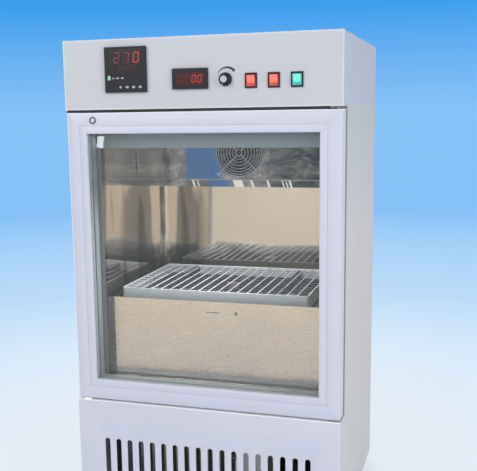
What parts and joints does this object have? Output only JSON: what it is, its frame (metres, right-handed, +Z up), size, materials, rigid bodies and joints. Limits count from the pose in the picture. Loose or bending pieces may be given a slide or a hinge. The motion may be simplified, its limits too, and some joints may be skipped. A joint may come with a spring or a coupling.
{
  "type": "incubated shaker",
  "caption": "Upright incubated shaker cabinet with a hinged glass door, an orbiting wire platform, a ducted fan and a control box.",
  "frame": {"origin": "middle of the footprint, on the floor under the levelling feet", "axes": "+Z up, the glass door faces -Y, +X to the right of a person who faces the door"},
  "size_m": [0.616, 0.537, 1.112],
  "materials": {
    "side_paint": "satin",
    "control_paint": "satin",
    "door_paint": "satin",
    "door_profile": "satin",
    "frame_grey": "satin",
    "tray_grey": "satin",
    "stainless": "polished",
    "chrome": "polished",
    "zinc_steel": "satin",
    "cast_aluminium": "satin",
    "black_plastic": "satin",
    "grey_plastic": "satin",
    "smoked_window": "gloss",
    "red_window": "gloss",
    "red_lens": "gloss",
    "green_lens": "gloss",
    "rubber": "matte",
    "white_rubber": "matte",
    "foam": "matte",
    "glass": "gloss",
    "black_enamel": "satin",
    "circuit_green": "satin"
  },
  "bodies": {
    "cabinet": {"outer_shell": "side_paint", "back_panel": "side_paint", "control_panel": "control_paint", "lower_front_panel": "door_paint", "chamber_front_flange": "frame_grey", "chamber_liner": "stainless", "air_duct_cover": "stainless", "drive_cover": "stainless", "fan_guard": "chrome", "base_pan": "zinc_steel", "upper_hinge_bracket": "zinc_steel", "lower_hinge_bracket": "zinc_steel", "lock_keeper": "zinc_steel", "speed_potentiometer": "zinc_steel", "heater_coil": "zinc_steel", "drive_base": "cast_aluminium", "evaporator": "cast_aluminium", "condenser": "cast_aluminium", "power_inlet": "black_plastic", "temp_controller_case": "black_plastic", "speed_meter_case": "black_plastic", "switch_housing_1": "black_plastic", "switch_housing_2": "black_plastic", "switch_housing_3": "black_plastic", "fan_frame": "black_plastic", "temp_controller_window": "smoked_window", "speed_meter_window": "red_window", "power_board": "circuit_green", "drive_belt": "rubber", "foam_insulation": "foam", "drive_motor": "black_enamel", "compressor": "black_enamel"},
    "door": {"door_frame": "door_profile", "outer_glass": "glass", "inner_glass": "glass", "glazing_spacer": "cast_aluminium", "door_gasket": "white_rubber", "lock_escutcheon": "chrome"},
    "lock": {"lock_cylinder": "chrome", "lock_cam": "chrome"},
    "speed_knob": {"speed_knob": "black_plastic"},
    "rocker_1": {"rocker_1": "red_lens"},
    "rocker_2": {"rocker_2": "red_lens"},
    "rocker_3": {"rocker_3": "green_lens"},
    "controller_key_1": {"controller_key_1": "grey_plastic"},
    "controller_key_2": {"controller_key_2": "grey_plastic"},
    "controller_key_3": {"controller_key_3": "grey_plastic"},
    "controller_key_4": {"controller_key_4": "grey_plastic"},
    "main_crank": {"main_crank": "zinc_steel"},
    "platform": {"platform_tray": "tray_grey", "platform_wire_rack": "chrome"},
    "idler_crank_1": {"idler_crank_1": "zinc_steel"},
    "idler_crank_2": {"idler_crank_2": "zinc_steel"},
    "idler_crank_3": {"idler_crank_3": "zinc_steel"},
    "motor_pulley": {"motor_pulley": "cast_aluminium"},
    "fan_rotor": {"fan_rotor": "black_plastic"},
    "foot_1": {"foot_1": "rubber"},
    "foot_2": {"foot_2": "rubber"},
    "foot_3": {"foot_3": "rubber"},
    "foot_4": {"foot_4": "rubber"}
  },
  "joints": [
    {"name": "door_hinge", "type": "hinge", "parent": "cabinet", "child": "door", "pos_m": [0.297, -0.2395, 0.6295], "axis": [0, 0, 1], "range_deg": [0, 110]},
    {"name": "lock_turn", "type": "hinge", "parent": "door", "child": "lock", "pos_m": [-0.2432, -0.2515, 0.9405], "axis": [0, -1, 0], "range_deg": [0, 98]},
    {"name": "speed_knob_turn", "type": "hinge", "parent": "cabinet", "child": "speed_knob", "pos_m": [0.0627, -0.2515, 1.021], "axis": [0, 1, 0], "range_deg": [0, 300]},
    {"name": "rocker_1_rock", "type": "hinge", "parent": "cabinet", "child": "rocker_1", "pos_m": [0.1172, -0.2513, 1.0173], "axis": [-1, 0, 0], "range_deg": [0, 18]},
    {"name": "rocker_2_rock", "type": "hinge", "parent": "cabinet", "child": "rocker_2", "pos_m": [0.1654, -0.2513, 1.0173], "axis": [-1, 0, 0], "range_deg": [0, 18]},
    {"name": "rocker_3_rock", "type": "hinge", "parent": "cabinet", "child": "rocker_3", "pos_m": [0.2136, -0.2513, 1.0173], "axis": [-1, 0, 0], "range_deg": [0, 18]},
    {"name": "controller_key_1_press", "type": "slide", "parent": "cabinet", "child": "controller_key_1", "axis": [0, 1, 0], "range_m": [0, 0.0008], "stiffness_N_per_m": 400, "springref_m": -0.0005},
    {"name": "controller_key_2_press", "type": "slide", "parent": "cabinet", "child": "controller_key_2", "axis": [0, 1, 0], "range_m": [0, 0.0008], "stiffness_N_per_m": 400, "springref_m": -0.0005},
    {"name": "controller_key_3_press", "type": "slide", "parent": "cabinet", "child": "controller_key_3", "axis": [0, 1, 0], "range_m": [0, 0.0008], "stiffness_N_per_m": 400, "springref_m": -0.0005},
    {"name": "controller_key_4_press", "type": "slide", "parent": "cabinet", "child": "controller_key_4", "axis": [0, 1, 0], "range_m": [0, 0.0008], "stiffness_N_per_m": 400, "springref_m": -0.0005},
    {"name": "main_crank_spin", "type": "hinge", "parent": "cabinet", "child": "main_crank", "pos_m": [0, -0.014, 0.3523], "axis": [0, 0, 1], "continuous": true},
    {"name": "platform_pivot", "type": "hinge", "parent": "main_crank", "child": "platform", "pos_m": [0, -0.004, 0.536], "axis": [0, 0, 1], "continuous": true},
    {"name": "idler_crank_1_spin", "type": "hinge", "parent": "cabinet", "child": "idler_crank_1", "pos_m": [-0.165, -0.114, 0.3523], "axis": [0, 0, 1], "continuous": true},
    {"name": "idler_crank_2_spin", "type": "hinge", "parent": "cabinet", "child": "idler_crank_2", "pos_m": [0.165, -0.114, 0.3523], "axis": [0, 0, 1], "continuous": true},
    {"name": "idler_crank_3_spin", "type": "hinge", "parent": "cabinet", "child": "idler_crank_3", "pos_m": [0, 0.091, 0.3523], "axis": [0, 0, 1], "continuous": true},
    {"name": "motor_pulley_spin", "type": "hinge", "parent": "cabinet", "child": "motor_pulley", "pos_m": [0.14, 0.026, 0.4129], "axis": [0, 0, 1], "continuous": true},
    {"name": "fan_spin", "type": "hinge", "parent": "cabinet", "child": "fan_rotor", "pos_m": [0.017, 0.0093, 0.857], "axis": [0, 1, 0], "continuous": true},
    {"name": "foot_1_screw", "type": "slide", "parent": "cabinet", "child": "foot_1", "axis": [0, 0, -1], "range_m": [0, 0.012]},
    {"name": "foot_2_screw", "type": "slide", "parent": "cabinet", "child": "foot_2", "axis": [0, 0, -1], "range_m": [0, 0.012]},
    {"name": "foot_3_screw", "type": "slide", "parent": "cabinet", "child": "foot_3", "axis": [0, 0, -1], "range_m": [0, 0.012]},
    {"name": "foot_4_screw", "type": "slide", "parent": "cabinet", "child": "foot_4", "axis": [0, 0, -1], "range_m": [0, 0.012]}
  ],
  "couplings": [
    {"joint": "platform_pivot", "follows": "main_crank_spin", "ratio": -1},
    {"joint": "idler_crank_1_spin", "follows": "main_crank_spin", "ratio": 1},
    {"joint": "idler_crank_2_spin", "follows": "main_crank_spin", "ratio": 1},
    {"joint": "idler_crank_3_spin", "follows": "main_crank_spin", "ratio": 1},
    {"joint": "motor_pulley_spin", "follows": "main_crank_spin", "ratio": 3}
  ]
}
